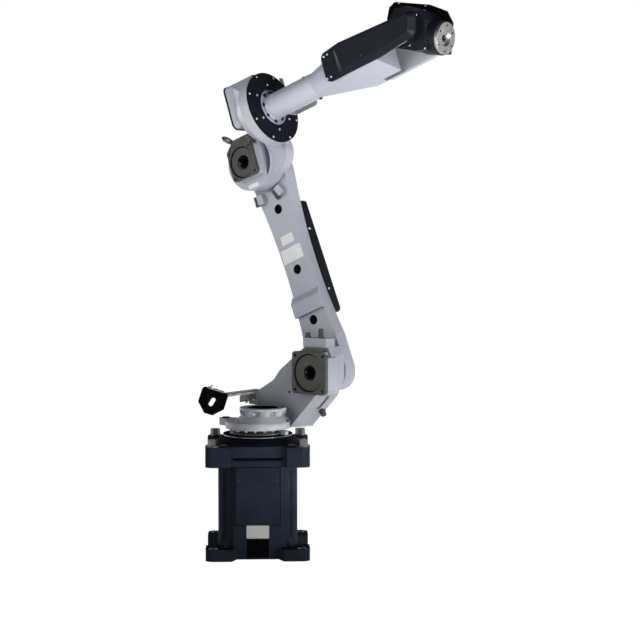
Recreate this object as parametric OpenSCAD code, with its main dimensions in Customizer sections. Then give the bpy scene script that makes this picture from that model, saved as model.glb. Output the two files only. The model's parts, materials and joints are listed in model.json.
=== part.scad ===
// Six-axis industrial robot arm on a cast base, stripped of its motors.
// Origin on the floor under the slewing axis, +Z up, -Y is the front of the base.
// Arm frames: x forward along the link, y to the robot's left, z up.

/* [Pose] */
// Turn of the arm to the right of the base's +X, in degrees
arm_yaw = 40; // [0:1:90]
// Backward lean of the lower arm, in degrees
arm_lean = 22.3; // [0:0.1:40]
// Rise of the forearm above the horizontal, in degrees
forearm_rise = 18.8; // [0:0.1:40]
// Downward bend of the wrist from the forearm, in degrees
wrist_drop = 25.3; // [0:0.1:60]

/* [Links] */
// Shoulder axis ahead of the slewing axis
shoulder_offset = 200; // [190:1:220]
// Shoulder axis above the floor
shoulder_height = 628; // [610:1:660]
// Shoulder axis to elbow axis
lower_arm_length = 775; // [740:1:850]
// Roll axis above the elbow axis
elbow_offset = 117; // [112:1:130]
// Elbow axis to wrist axis along the forearm
forearm_length = 823; // [800:1:900]
// Wrist axis to tool face
wrist_length = 122; // [116:1:140]

/* [Base] */
// Distance between floor bolts
foot_pitch = 300; // [290:1:330]
// Corner radius of the feet and of the top ears
foot_r = 26; // [24:1:30]
// Thickness of a foot
foot_h = 40; // [36:1:48]
// Width of the gap between two feet
foot_notch_w = 140; // [120:1:160]
// Depth of that gap
foot_notch_d = 38; // [30:1:39]
// Fillet between a foot and the column
foot_fillet = 30; // [20:1:32]
// Floor bolt hole
foot_hole_d = 18; // [14:1:22]
// Spot face round a floor bolt
foot_spot_d = 34; // [30:1:40]
// Lift of the base's front apron above the floor
foot_lift = 2; // [1:0.5:6]
// Width of the column
column_w = 270; // [250:1:280]
// Corner radius of the column
column_r = 70; // [50:1:80]
// Height of the top ears above the floor
base_h = 385; // [370:1:400]
// Depth of the top flange
flange_h = 68; // [55:1:80]
// Width of the set-back face between two ears
flange_notch_w = 180; // [165:1:190]
// Set-back of that face
flange_notch_d = 16; // [10:1:20]
// Height of the conical neck above the ears
neck_h = 19; // [15:1:25]
// Foot radius of the conical neck
neck_foot_r = 158; // [150:1:160]
// Top radius of the conical neck
neck_r = 125; // [123:1:135]
// Width of the front panel
panel_w = 149; // [130:1:155]
// Gap between the front panel and the top flange
panel_gap = 4; // [2:1:12]
// Height of the front panel's lower edge
panel_z = 118; // [110:1:120]
// Thickness of the front panel
panel_t = 4; // [3:0.5:6]
// Stand-out of the front apron behind the panel
apron_t = 6; // [4:1:10]
// Width of the cable slot over the panel
slot_w = 149; // [120:1:155]
// Height of the cable slot
slot_h = 10; // [6:1:14]
// Depth of the cable slot
slot_d = 12; // [8:1:16]
// Cable slot above the underside of the top flange
slot_rise = 21; // [16:1:26]
// Radius of the flutes in the column's corners
flute_r = 9; // [6:1:11]
// Across flats of an ear bolt's head
ear_bolt_af = 30; // [24:1:32]
// Height of an ear bolt's head
ear_bolt_h = 20; // [12:1:22]

/* [Slewing unit] */
// Radius of the fixed ring
slew_ring_r = 119; // [115:1:122]
// Height of the fixed ring
slew_ring_h = 9; // [7:0.5:10]
// Radius of the turning output flange
slew_out_r = 86; // [80:1:90]
// Width of the seal between them
slew_seal_w = 9.6; // [8:0.2:12]
// Height of the output flange
slew_out_h = 27; // [25:1:34]

/* [Carousel] */
// Radius of the carousel plate
plate_r = 111; // [104:1:114]
// Flats round the carousel's plate
plate_flats = 14; // [10:1:24]
// Thickness of the carousel plate
plate_t = 24; // [20:1:30]
// Radius of the slewing motor's boss
boss_r = 75; // [74:1:80]
// Motor boss forward of the slewing axis
boss_x = 24; // [16:1:28]
// Height of the motor boss
boss_h = 48; // [40:1:55]
// Near face of the upright wall, behind the slewing axis
wall_near = 68; // [66:1:72]
// Far face of the upright wall
wall_far = 141.5; // [140:0.5:150]
// Back end of the wall on the carousel
wall_back = -70; // [-74:1:-66]
// Length of the cable bracket's seat on the wall
strip_seat = 12; // [10:1:14]
// Slope of the wall's front edge, in degrees
wall_slope = 46; // [43:0.5:48]
// Bevel of that edge towards the motor side, in degrees
wall_bevel = 22; // [15:1:25]
// Front edge of the wall above the plate, as a share of the shoulder's height above it
wall_edge = 0.38; // [0.34:0.01:0.42]
// Top of the wall above the shoulder axis
shelf_rise = 88; // [84:1:96]
// Height of the shelf for the shoulder bumpers
shelf_h = 29; // [24:1:34]
// Depth of the motor box behind its plate
box_depth = 50; // [40:1:60]
// Length of the pocket in the wall's front edge
pocket_l = 70; // [60:1:80]
// Width of that pocket
pocket_w = 16; // [12:1:20]
// Radius of the shoulder bumpers
bumper_r = 8.5; // [7:0.5:11]
// Height of the taller shoulder bumper
bumper_h = 32; // [24:1:36]

/* [Cable holder] */
// Place of the cable holder along the carousel
holder_x = -76; // [-82:1:-70]
// Place of the cable holder across the carousel
holder_y = -150; // [-160:1:-140]
// Middle of the cable holder above its bracket
holder_rise = -20; // [-26:1:-14]
// Tilt of the cable holder, in degrees
holder_lean = 18; // [10:1:24]
// Width of the cable holder
holder_w = 92; // [84:1:100]
// Height of the cable holder
holder_h = 84; // [76:1:90]
// Thickness of the cable holder
holder_t = 30; // [22:1:36]
// Width of its cable slot
holder_slot_w = 15; // [12:1:20]
// Length of its cable slot
holder_slot_h = 34; // [28:1:40]

/* [Motor flanges] */
// Distance of both motor faces from the arm's centre plane
motor_face = 30; // [27:1:33]
// Thickness of a motor plate
motor_plate_t = 14; // [12:1:18]
// Bolt circle of the shoulder motor
shoulder_pcd = 165; // [160:1:170]
// Pilot of the shoulder motor
shoulder_pilot_d = 130; // [125:1:135]
// Side of the shoulder motor plate
shoulder_plate_w = 144; // [142:1:150]
// Bolt hole of the shoulder motor
shoulder_hole_d = 11; // [9:0.5:12]
// Bolt circle of the elbow motor and of the slewing motor
elbow_pcd = 130; // [126:1:134]
// Pilot of the elbow motor and of the slewing motor
elbow_pilot_d = 110; // [100:1:112]
// Side of the elbow motor plate
elbow_plate_w = 114; // [112:1:120]
// Bolt hole of the elbow motor and of the slewing motor
elbow_hole_d = 9; // [7:0.5:10]
// Depth of each pilot
pilot_depth = 6; // [4:0.5:8]
// Depth of the slewing motor's pilot
pilot_l = 40; // [30:1:44]
// Depth of the coupling's pocket behind a plate
coupling_pocket = 40; // [34:1:46]
// Hole for the coupling behind each pilot
coupling_hole_d = 52; // [48:1:56]
// Outside diameter of a coupling
coupling_d = 42; // [36:1:46]
// Bore of a coupling
coupling_bore_d = 24; // [19:1:24]

/* [Lower arm] */
// Near face of the lower arm
arm_near = 147; // [146:0.5:156]
// Thickness of the lower arm
arm_t = 54; // [45:1:60]
// Radius of the shoulder end
arm_foot_r = 70; // [66:1:75]
// Radius of the elbow end
arm_head_r = 80; // [76:1:86]
// Half width at the waist
arm_waist = 52; // [48:1:56]
// Diameter of the three access holes
access_d = 34; // [28:1:38]
// Lowest access hole above the shoulder axis
access_low = 187; // [180:1:195]
// Middle access hole above the shoulder axis
access_mid = 374; // [340:1:400]
// Highest access hole below the elbow axis
access_drop = 175; // [168:1:185]
// Depth of the access plugs
plug_depth = 22; // [15:1:26]
// Middle of the collar above the shoulder axis
collar_z = 239; // [232:1:250]
// Height of the collar
collar_h = 50; // [40:1:60]
// Stand-out of the collar
collar_t = 15; // [10:1:16]
// Elbow stop pads below the elbow axis
pad_drop = 119; // [117:1:134]
// Stand-out of the elbow stop pads
pad_t = 20; // [16:1:21]
// Width of an elbow stop pad
pad_w = 26; // [22:1:30]
// Length of an elbow bumper and of its pad
stop_l = 34; // [28:1:36]
// Radius of an elbow bumper
stop_r = 8; // [6:0.5:8]
// Thickness of the cable cover
cover_t = 42; // [30:1:46]
// Width of the cable cover
cover_w = 120; // [104:1:124]
// Lower end of the cable cover above the shoulder axis
cover_low = 196; // [190:1:220]
// Upper end of the cable cover below the elbow axis
cover_drop = 162; // [156:1:190]

/* [Elbow] */
// Radius of the round elbow boss
elbow_boss_r = 98; // [94:1:100]
// Radius of the roll housing
roll_r = 124; // [118:1:128]
// Front face of the roll housing ahead of the elbow axis
roll_front = 209; // [204:1:216]
// Thickness of the round black cover
roll_cover_t = 7; // [5:1:9]
// Rear face of the elbow housing ahead of the elbow axis
elbow_rear = 93; // [88:1:97]
// Thickness of the rear cover
rear_cover_t = 6; // [4:1:8]
// Width of the rear box
rear_w = 156; // [148:1:160]
// Height of the rear box
rear_h = 151; // [146:1:156]
// Underside of the rear box below the roll axis
rear_drop = 35; // [32:1:38]
// Corner radius of the rear box
rear_r = 20; // [14:1:24]
// Length of the rear box before it widens to the roll housing
rear_l = 34; // [30:1:38]
// Rise of the lifting eye's seat above the motor plate
eye_rise = 30; // [26:1:34]
// Run of the slope on that seat
eye_run = 38; // [32:1:44]

/* [Forearm] */
// Radius of the bolted forearm flange
arm_flange_r = 61; // [58:1:64]
// Length of the bolted forearm flange
arm_flange_t = 23; // [18:1:28]
// Radius of the tube
tube_r = 43.5; // [40:0.5:46]
// Flare from the tube to the fork, as a share of the forearm's length
flare_share = 0.2187; // [0.2:0.0001:0.24]
// Solid root of the fork, as a share of the forearm's length
root_share = 0.141; // [0.12:0.001:0.16]
// Depth of the fork behind the wrist axis
fork_depth = 107; // [104:1:115]
// Depth of the slot for the wrist's tail behind the wrist axis
tail_slot_l = 183; // [181:1:190]
// Width of that slot
tail_slot_w = 20; // [18:1:24]
// Upper edge of the fork above the roll axis
fork_top = 58; // [54:1:60]
// Lower edge of the fork's far arm under the roll axis
fork_low = 71; // [66:1:74]
// Lower edge of the fork's near arm under the roll axis
fork_near_low = 41; // [38:1:44]
// Half gap of the fork
fork_gap = 66; // [65:0.5:68]
// Thickness of a fork arm
fork_t = 20; // [18:1:24]
// Thickness of the belt cover
belt_cover_t = 28; // [22:1:32]
// Bevel of the belt cover
belt_bevel = 15; // [10:1:18]

/* [Wrist] */
// Half width of the wrist body
wrist_half_w = 56; // [54:0.5:56]
// Radius of the wrist's nose
nose_r = 54; // [52:0.5:55]
// Radius of the wrist's hub between the fork arms
hub_r = 40; // [36:1:44]
// Thickness of the wrist's side cover
wrist_cover_t = 6; // [4:1:6]
// Outside diameter of the tool flange
tool_d = 100; // [96:1:104]
// Thickness of the tool flange
tool_t = 12; // [10:1:14]
// Bolt circle of the tool flange
tool_pcd = 80; // [76:1:82]
// Bolt hole of the tool flange
tool_hole_d = 8; // [6:0.5:9]
// Locating bore of the tool flange
tool_bore_d = 50; // [40:1:50]
// Depth of the locating bore
tool_bore_l = 8; // [5:0.5:8.5]
// Centre hole of the tool flange
tool_centre_d = 22; // [16:1:24]

/* [Clearances] */
// Gap between faces that turn on each other
run_gap = 0.3; // [0.2:0.05:0.5]

/* [Hidden] */
$fn = 96;

navy = "#232a33";
casting_grey = "#a5a8b4";
machined_grey = "#4b4b47";
steel = "#c4c6c8";
rubber_olive = "#4a4c44";
black = "#1c222c";

flange_w = foot_pitch + 2 * foot_r;
flange_z = base_h - flange_h;
neck_z = base_h + neck_h;
front_y = -column_w / 2 - apron_t;
panel_h = flange_z - panel_gap - panel_z;
slew_out_z = neck_z + run_gap;
plate_z = slew_out_z + slew_out_h;
boss_z = plate_z + plate_t;
boss_top = boss_z + boss_h;
gear_face = arm_near - run_gap;
arm_far = arm_near + arm_t;
box_near = motor_face + motor_plate_t;
wall_front = shoulder_offset + arm_foot_r - 4;
edge_z = plate_z + wall_edge * (shoulder_height - plate_z);
shelf_back = shoulder_offset - 47;
shelf_front = wall_front - 13;
ledge = boss_top + 44;
access_z = [access_low, access_mid, lower_arm_length - access_drop];
pad_z = lower_arm_length - pad_drop;
stop_x = [-49, 40];
stop_tilt = [0, 24];
eye_seat = elbow_plate_w / 2;
rim_near = box_near + 28;
fork_outer = fork_gap + fork_t;
crotch_x = forearm_length - fork_depth;
fork_root = forearm_length * root_share;
flare_l = forearm_length * flare_share;
fork_x = crotch_x - fork_root;
flare_x = fork_x - flare_l;
plate_y = nose_r + run_gap;

// Places of the six bodies at rest
module on_carousel() {
  rotate([0, 0, -arm_yaw]) children();
}
module on_shoulder() {
  on_carousel() translate([shoulder_offset, 0, shoulder_height]) children();
}
module on_arm() {
  on_shoulder() rotate([0, -arm_lean, 0]) children();
}
module on_elbow() {
  on_arm() translate([0, 0, lower_arm_length]) rotate([0, arm_lean - forearm_rise, 0]) children();
}
module on_forearm() {
  on_elbow() translate([0, 0, elbow_offset]) children();
}
module on_wrist() {
  on_forearm() translate([forearm_length, 0, 0]) rotate([0, wrist_drop, 0]) children();
}

// Outline in x and z, thick from y0 to y1
module slab(y0, y1) {
  translate([0, y1, 0]) rotate([90, 0, 0]) linear_extrude(y1 - y0) children();
}
// Round along y
module cross_pin(y0, y1, r) {
  translate([0, y1, 0]) rotate([90, 0, 0]) cylinder(h = y1 - y0, r = r);
}
// Round along x
module bar(x0, x1, r) {
  translate([x0, 0, 0]) rotate([0, 90, 0]) cylinder(h = x1 - x0, r = r);
}
module rounded(w, h, r) {
  square([w - 2 * r, h], center = true);
  square([w, h - 2 * r], center = true);
  for (sx = [-1, 1], sy = [-1, 1])
    translate([sx * (w / 2 - r), sy * (h / 2 - r)]) circle(r);
}
// Two circles and their outer tangents
module link2d(p, rp, q, rq) {
  run = q - p;
  heading = atan2(run[1], run[0]);
  spread = acos((rp - rq) / norm(run));
  up = [cos(heading + spread), sin(heading + spread)];
  down = [cos(heading - spread), sin(heading - spread)];
  translate(p) circle(rp);
  translate(q) circle(rq);
  polygon([p + rp * up, p + rp * down, q + rq * down, q + rq * up]);
}
module hole_circle(pcd, count, start) {
  for (i = [0 : count - 1])
    rotate(start + i * 360 / count) translate([pcd / 2, 0]) children();
}

// Base
// Rounded square with a tapered notch in each side
module corner_plate(notch_w, notch_d) {
  half = flange_w / 2;
  difference() {
    rounded(flange_w, flange_w, foot_r);
    for (a = [0 : 90 : 270]) rotate(a)
      polygon([[-notch_w / 2 - notch_d / 2, -half - 1], [notch_w / 2 + notch_d / 2, -half - 1],
        [notch_w / 2, -half + notch_d], [-notch_w / 2, -half + notch_d]]);
  }
}
module foot_fillets() {
  corner = (column_w / 2 - column_r) * sqrt(2) + column_r - 2;
  for (a = [45 : 90 : 315]) rotate(a) slab(-foot_r * 0.7, foot_r * 0.7) translate([corner, foot_h - 1])
    difference() {
      square(foot_fillet + 2);
      translate([foot_fillet + 2, foot_fillet + 1]) circle(foot_fillet);
    }
}
module base_column() {
  flute_at = [column_w * 0.42, column_w * 0.44];
  apron_w = panel_w + 14;
  difference() {
    translate([0, 0, foot_lift]) linear_extrude(flange_z + 1 - foot_lift) union() {
      rounded(column_w, column_w, column_r);
      polygon([[-apron_w / 2, front_y], [apron_w / 2, front_y], [apron_w / 2 + 2 * apron_t, -column_w / 4],
        [-apron_w / 2 - 2 * apron_t, -column_w / 4]]);
    }
    for (sx = [-1, 1], sy = [-1, 1])
      translate([sx * flute_at[0], sy * flute_at[1], foot_h * 1.5])
        cylinder(h = flange_z - foot_h * 2, r = flute_r);
  }
}
module base_casting() color(navy) {
  slot_z = flange_z + slot_rise;
  neck_root = 7;
  difference() {
    union() {
      linear_extrude(foot_h) corner_plate(foot_notch_w, foot_notch_d);
      foot_fillets();
      base_column();
      translate([0, 0, flange_z]) linear_extrude(flange_h) corner_plate(flange_notch_w, flange_notch_d);
      translate([0, 0, base_h - neck_root])
        cylinder(h = neck_h + neck_root, r1 = neck_foot_r, r2 = neck_r);
    }
    for (sx = [-1, 1], sy = [-1, 1]) translate([sx * foot_pitch / 2, sy * foot_pitch / 2]) {
      translate([0, 0, -1]) cylinder(h = foot_h + 2, d = foot_hole_d);
      translate([0, 0, foot_h - 2]) cylinder(h = foot_fillet, d = foot_spot_d);
    }
    translate([0, -flange_w / 2 + flange_notch_d + slot_d, 0]) rotate([90, 0, 0]) linear_extrude(2 * slot_d)
      polygon([[-slot_w / 2, slot_z], [slot_w / 2, slot_z],
        [slot_w / 2 + 2 * slot_h, slot_z + slot_h], [-slot_w / 2 - 2 * slot_h, slot_z + slot_h]]);
  }
}
module base_front_panel() color(black) {
  translate([0, front_y, panel_z + panel_h / 2]) rotate([90, 0, 0]) linear_extrude(panel_t)
    rounded(panel_w, panel_h, 6);
}
module ear_bolts() color(steel) {
  washer_t = 4;
  for (sx = [-1, 1], sy = [-1, 1]) translate([sx * foot_pitch / 2, sy * foot_pitch / 2, base_h]) {
    cylinder(h = washer_t, d = ear_bolt_af * 1.4);
    translate([0, 0, washer_t]) cylinder(h = ear_bolt_h, d = ear_bolt_af / cos(30), $fn = 6);
  }
}

// Slewing unit
module slew_ring() color(steel) {
  translate([0, 0, neck_z]) difference() {
    cylinder(h = slew_ring_h, r = slew_ring_r);
    translate([0, 0, -1]) cylinder(h = slew_ring_h + 2, r = slew_out_r + run_gap + slew_seal_w);
    translate([0, 0, slew_ring_h - 3]) hole_circle(2 * slew_ring_r - 20, 16, 0) cylinder(h = 4, d = 8);
  }
}
module slew_seal() color(black) {
  translate([0, 0, neck_z]) difference() {
    cylinder(h = slew_ring_h - 2, r = slew_out_r + run_gap + slew_seal_w);
    translate([0, 0, -1]) cylinder(h = slew_ring_h + 2, r = slew_out_r + run_gap);
  }
}
module slew_stop() color(casting_grey) {
  stop_w = 20;
  stop_h = slew_out_h - slew_ring_h - 5;
  stop_turn = -32;
  rotate(stop_turn) translate([slew_ring_r - stop_w, -stop_w / 2, neck_z + slew_ring_h])
    cube([stop_w - 1, stop_w, stop_h]);
}
module slew_output() color(steel) {
  translate([0, 0, slew_out_z]) difference() {
    cylinder(h = slew_out_h, r = slew_out_r);
    translate([0, 0, slew_ring_h + 3]) difference() {
      cylinder(h = slew_out_h - slew_ring_h - 7, r = slew_out_r + 1);
      translate([0, 0, -1]) cylinder(h = slew_out_h, r = slew_out_r - 5);
    }
  }
}

// Carousel
// Wall in x and z: bent back edge, shelf over the shoulder, sloped front edge
module wall_outline() {
  edge_foot = shoulder_offset - (edge_z - plate_z) / tan(wall_slope);
  edge_run = 0.44 * shelf_rise;
  polygon([[wall_back, plate_z], [wall_back, ledge], [wall_back + strip_seat + 1, ledge],
    [wall_back + strip_seat + 6, ledge + 5],
    [shoulder_offset - 2.1 * shelf_rise, shoulder_height - 0.41 * shelf_rise],
    [shoulder_offset - 1.78 * shelf_rise, shoulder_height],
    [shelf_back, shoulder_height + shelf_rise - 3], [shelf_back, shoulder_height + shelf_rise],
    [shelf_front, shoulder_height + shelf_rise], [wall_front, shoulder_height + 0.7 * shelf_rise],
    [wall_front, shoulder_height - 0.3 * shelf_rise],
    [shoulder_offset + edge_run, edge_z + edge_run * tan(wall_slope)], [edge_foot, plate_z]]);
}
// Frame of the bevelled face: x up the slope, y to the far side, z into the wall
module on_bevel() {
  near_shift = (wall_far - wall_near) * tan(wall_bevel);
  translate([shoulder_offset, wall_near, edge_z]) rotate([0, -wall_slope, 0])
    translate([0, 0, near_shift]) rotate([-wall_bevel, 0, 0]) children();
}
module upright_wall() {
  reach = 400;
  pocket_d = 5;
  pocket_x = 8;
  pocket_y = (wall_far - wall_near) * 0.62;
  difference() {
    slab(wall_near, wall_far) wall_outline();
    on_bevel() {
      translate([-reach / 2, -reach / 4, -reach]) cube([reach, reach, reach]);
      translate([pocket_x, pocket_y, -1]) linear_extrude(pocket_d + 1)
        rounded(pocket_l, pocket_w, pocket_w / 2 - 0.5);
    }
  }
}
module motor_boss() {
  scallop_r = 13;
  flare = 22;
  translate([boss_x, 0, boss_z - 1]) difference() {
    union() {
      cylinder(h = boss_h + 1, r = boss_r);
      cylinder(h = flare + 1, r1 = boss_r + flare, r2 = boss_r - 0.5);
    }
    translate([0, 0, flare + 2]) hole_circle(2 * boss_r + 12, 8, 22.5)
      cylinder(h = boss_h - flare - 11, r = scallop_r);
  }
}
module motor_box() {
  corner = 14;
  notch_r = 18;
  slab(box_near, box_near + box_depth) difference() {
    rounded(shoulder_plate_w, shoulder_plate_w, corner);
    translate([shoulder_plate_w / 2, shoulder_plate_w / 2]) circle(notch_r);
  }
}
module carousel_lug() {
  lug_at = 147;
  lug_turn = 183;
  lug_r = 17;
  lug_root_r = 40;
  lug_hole_d = 12;
  rotate(lug_turn) difference() {
    translate([0, 0, plate_z]) linear_extrude(plate_t)
      link2d([plate_r * 0.6, 0], lug_root_r, [lug_at, 0], lug_r);
    translate([lug_at, 0, plate_z - 1]) cylinder(h = plate_t + 2, d = lug_hole_d);
  }
}
module carousel_casting() color(casting_grey) on_carousel() {
  shelf_near = wall_near - 10;
  shelf_w = 50;
  tap_l = 20;
  difference() {
    union() {
      translate([0, 0, plate_z]) cylinder(h = plate_t, r = plate_r, $fn = plate_flats);
      carousel_lug();
      motor_boss();
      upright_wall();
      translate([shoulder_offset, 0, shoulder_height]) motor_box();
      translate([shelf_back + 1, shelf_near, shoulder_height + shelf_rise - 2])
        cube([shelf_front - shelf_back - 2, shelf_w, shelf_h + 2]);
    }
    translate([boss_x, 0, boss_top - pilot_l]) cylinder(h = pilot_l + 1, d = elbow_pilot_d);
    translate([boss_x, 0, boss_top - tap_l]) hole_circle(elbow_pcd, 4, 45)
      cylinder(h = tap_l + 1, d = elbow_hole_d);
    translate([shoulder_offset, 0, shoulder_height]) {
      cross_pin(box_near - 1, box_near + coupling_pocket, coupling_hole_d / 2);
      for (a = [45 : 90 : 315]) rotate([0, a, 0]) translate([shoulder_pcd / 2, 0, 0])
        cross_pin(box_near - 1, box_near + tap_l, shoulder_hole_d / 2);
    }
  }
}
// Square motor plate about the y axis: pilot in its near face, four bolt holes, coupling hole
module motor_plate(w, pcd, pilot_d, hole_d, corner_cut) {
  corner = 12;
  difference() {
    slab(motor_face, box_near) difference() {
      rounded(w, w, corner);
      translate([w / 2, w / 2]) circle(corner_cut);
    }
    cross_pin(motor_face - 1, motor_face + pilot_depth, pilot_d / 2);
    cross_pin(motor_face, box_near + 1, coupling_hole_d / 2);
    for (a = [45 : 90 : 315]) rotate([0, a, 0]) translate([pcd / 2, 0, 0])
      cross_pin(motor_face - 1, box_near + 1, hole_d / 2);
  }
}
// Two-jaw clamp coupling about the y axis, standing on a pocket's floor
module coupling() {
  jaw_w = 9;
  jaw_l = 12;
  hub_t = 6;
  start_y = motor_face + pilot_depth + 4;
  floor_y = box_near + coupling_pocket;
  difference() {
    cross_pin(start_y, floor_y, coupling_d / 2);
    cross_pin(start_y - 1, floor_y - hub_t, coupling_bore_d / 2);
    translate([-coupling_d, start_y - 1, -jaw_w / 2]) cube([2 * coupling_d, jaw_l + 1, jaw_w]);
  }
}
module shoulder_motor_plate() color(machined_grey) on_shoulder() {
  corner_cut = 12;
  tab = [78, 12];
  tab_x = -28;
  tab_rise = 9;
  motor_plate(shoulder_plate_w, shoulder_pcd, shoulder_pilot_d, shoulder_hole_d, corner_cut);
  slab(motor_face + pilot_depth, box_near - 1)
    translate([tab_x, shoulder_plate_w / 2 + tab_rise - tab[1]]) square(tab);
}
module shoulder_coupling() color(machined_grey) on_shoulder() {
  coupling();
}
module shoulder_gear_unit() color(steel) on_shoulder() {
  cross_pin(wall_far, gear_face, arm_foot_r - 8);
}
module rubber_bumper(r, h) {
  cylinder(h = h, r = r);
  cylinder(h = h * 0.3, r = r * 1.15);
}
module shoulder_bumpers() color(rubber_olive) on_shoulder() {
  at_x = [-34, 23];
  rise = [bumper_h * 0.55, bumper_h];
  for (i = [0, 1]) translate([at_x[i], wall_near + 1, shelf_rise + shelf_h]) rubber_bumper(bumper_r, rise[i]);
}
module front_bumper() color(rubber_olive) on_carousel() {
  stop_h = 20;
  inset = (wall_far - wall_near) * 0.14;
  below = (edge_z - plate_z) * 0.35;
  translate([shoulder_offset, wall_far - inset, edge_z]) rotate([0, -wall_slope, 0])
    translate([-below, 0, inset * tan(wall_bevel)]) rotate([180 - wall_bevel, 0, 0])
      rubber_bumper(bumper_r * 1.2, stop_h);
}
module at_holder() {
  translate([holder_x, holder_y, ledge + holder_rise]) rotate([0, holder_lean, arm_yaw]) children();
}
module cable_bracket() color(casting_grey) on_carousel() {
  strip_w = 34;
  sheet = 4;
  strip_x = wall_back + strip_seat - strip_w;
  strip_y = holder_y - holder_t;
  seat_l = 30;
  tab_w = 50;
  tab_h = 36;
  tab_gap = 6;
  reach = 300;
  difference() {
    union() {
      translate([strip_x, strip_y, ledge]) cube([strip_w, wall_near + seat_l - strip_y, sheet]);
      translate([strip_x, wall_near - tab_w - tab_gap, ledge - tab_h]) cube([sheet, tab_w, tab_h + 1]);
    }
    at_holder() translate([-reach, holder_t / 2 - 2 * reach, -reach]) cube(2 * reach);
  }
  at_holder() translate([-holder_w * 0.32, -holder_t / 2, holder_h / 2])
    cube([holder_w * 0.64, holder_t, sheet]);
}
module cable_holder() color(black) on_carousel() at_holder() {
  slot_lean = 13;
  corner = 12;
  cut = holder_w * 0.24;
  slab(-holder_t / 2, holder_t / 2) difference() {
    rounded(holder_w, holder_h, corner);
    for (s = [-1, 1]) translate([s * holder_w / 2, -holder_h / 2]) rotate(45) square(2 * cut, center = true);
    rotate(-slot_lean) rounded(holder_slot_w, holder_slot_h, holder_slot_w / 2 - 0.5);
  }
}

// Lower arm
module arm_outline() {
  flank_r = 2000;
  difference() {
    link2d([0, 0], arm_foot_r, [0, lower_arm_length], arm_head_r);
    for (s = [-1, 1]) translate([s * (arm_waist + flank_r), lower_arm_length / 2]) circle(flank_r, $fn = 400);
  }
}
module at_stop(i) {
  translate([stop_x[i], 0, pad_z]) rotate([0, -stop_tilt[i], 0]) children();
}
module lower_arm_casting() color(casting_grey) on_arm() {
  collar_w = 2 * arm_waist + 22;
  ramp = collar_t * 1.6;
  difference() {
    union() {
      slab(arm_near, arm_far) arm_outline();
      translate([-collar_w / 2, 0, collar_z]) rotate([90, 0, 90]) linear_extrude(collar_w)
        polygon([[arm_near + 2, -collar_h / 2], [arm_near - collar_t, -collar_h / 2],
          [arm_near - collar_t, collar_h / 2], [arm_near + 2, collar_h / 2 + ramp]]);
      for (i = [0, 1]) at_stop(i) slab(arm_near - pad_t, arm_near + 1) rounded(pad_w, stop_l, 4);
    }
    for (z = access_z) translate([0, 0, z]) cross_pin(arm_near - 1, arm_near + plug_depth, access_d / 2);
  }
}
module lower_arm_cover() color(black) on_arm() {
  bevel = 5;
  corner = 14;
  cover_h = lower_arm_length - cover_drop - cover_low;
  translate([0, 0, cover_low + cover_h / 2]) hull() {
    slab(arm_far, arm_far + cover_t - bevel) rounded(cover_w, cover_h, corner, $fn = 32);
    slab(arm_far, arm_far + cover_t) rounded(cover_w - 2 * bevel, cover_h - 2 * bevel, corner, $fn = 32);
  }
}
module access_plugs() color(black) on_arm() {
  for (z = access_z) translate([0, 0, z]) cross_pin(arm_near + 2, arm_near + plug_depth, access_d / 2);
}
module elbow_bumpers() color(rubber_olive) on_arm() {
  for (i = [0, 1]) at_stop(i)
    translate([-pad_w / 2 - stop_r * 1.15 - run_gap, arm_near - pad_t / 2, -stop_l / 2])
      rubber_bumper(stop_r, stop_l);
}

// Elbow
// Rear box and its widening to the roll housing, about the roll axis
module rear_box() {
  skin = 1;
  rear_top = rear_h - rear_drop;
  side = roll_r * 0.9;
  shoulder = roll_r * 0.32;
  widen_l = roll_front - 8 - elbow_rear - rear_l;
  rise = 4;
  translate([elbow_rear, 0, rear_h / 2 - rear_drop]) rotate([90, 0, 90])
    linear_extrude(rear_l) rounded(rear_w, rear_h, rear_r);
  translate([elbow_rear + rear_l, 0, 0]) hull() {
    translate([-skin, 0, rear_h / 2 - rear_drop]) rotate([90, 0, 90])
      linear_extrude(skin) rounded(rear_w - skin, rear_h - skin, rear_r, $fn = 32);
    translate([widen_l - skin, 0, 0]) rotate([90, 0, 90]) linear_extrude(skin)
      polygon([[-rear_w * 0.3, rear_top + rise], [-side, shoulder], [-side, -rear_drop + skin],
        [side, -rear_drop + skin], [side, shoulder], [rear_w * 0.2, rear_top + rise]]);
  }
}
module elbow_casting() color(casting_grey) on_elbow() {
  web_far = wall_far - 20;
  neck_rear = roll_front - 36;
  neck_start = elbow_rear + rear_l + 2;
  recess_d = 46;
  rim = 6;
  corner = 12;
  tap_l = 14;
  difference() {
    union() {
      cross_pin(rim_near, wall_far, elbow_boss_r);
      slab(box_near, rim_near + 1) rounded(elbow_plate_w, elbow_plate_w, corner);
      slab(rim_near + rim + 3, web_far)
        link2d([0, 0], elbow_boss_r - 3, [elbow_rear, 0], elbow_boss_r * 0.71);
      slab(rim_near + 2 * rim, web_far - 3 * rim)
        link2d([elbow_rear + 12, 8], roll_r * 0.39, [elbow_rear + 56, elbow_offset - 20], roll_r * 0.41);
      translate([0, 0, elbow_offset]) {
        rotate([0, 90, 0]) rotate_extrude() polygon([[0, neck_start], [roll_r * 0.72, neck_start],
          [roll_r, neck_rear], [roll_r, roll_front], [0, roll_front]]);
        rear_box();
      }
    }
    cross_pin(box_near - 1, box_near + coupling_pocket, coupling_hole_d / 2);
    for (a = [45 : 90 : 315]) rotate([0, a, 0]) translate([elbow_pcd / 2, 0, 0])
      cross_pin(box_near - 1, box_near + tap_l, elbow_hole_d / 2);
    slab(rim_near - rim, rim_near + recess_d) difference() {
      circle(elbow_boss_r - rim);
      translate([-elbow_boss_r + eye_seat + rim - 2, 0]) square(2 * elbow_boss_r, center = true);
    }
  }
}
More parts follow.
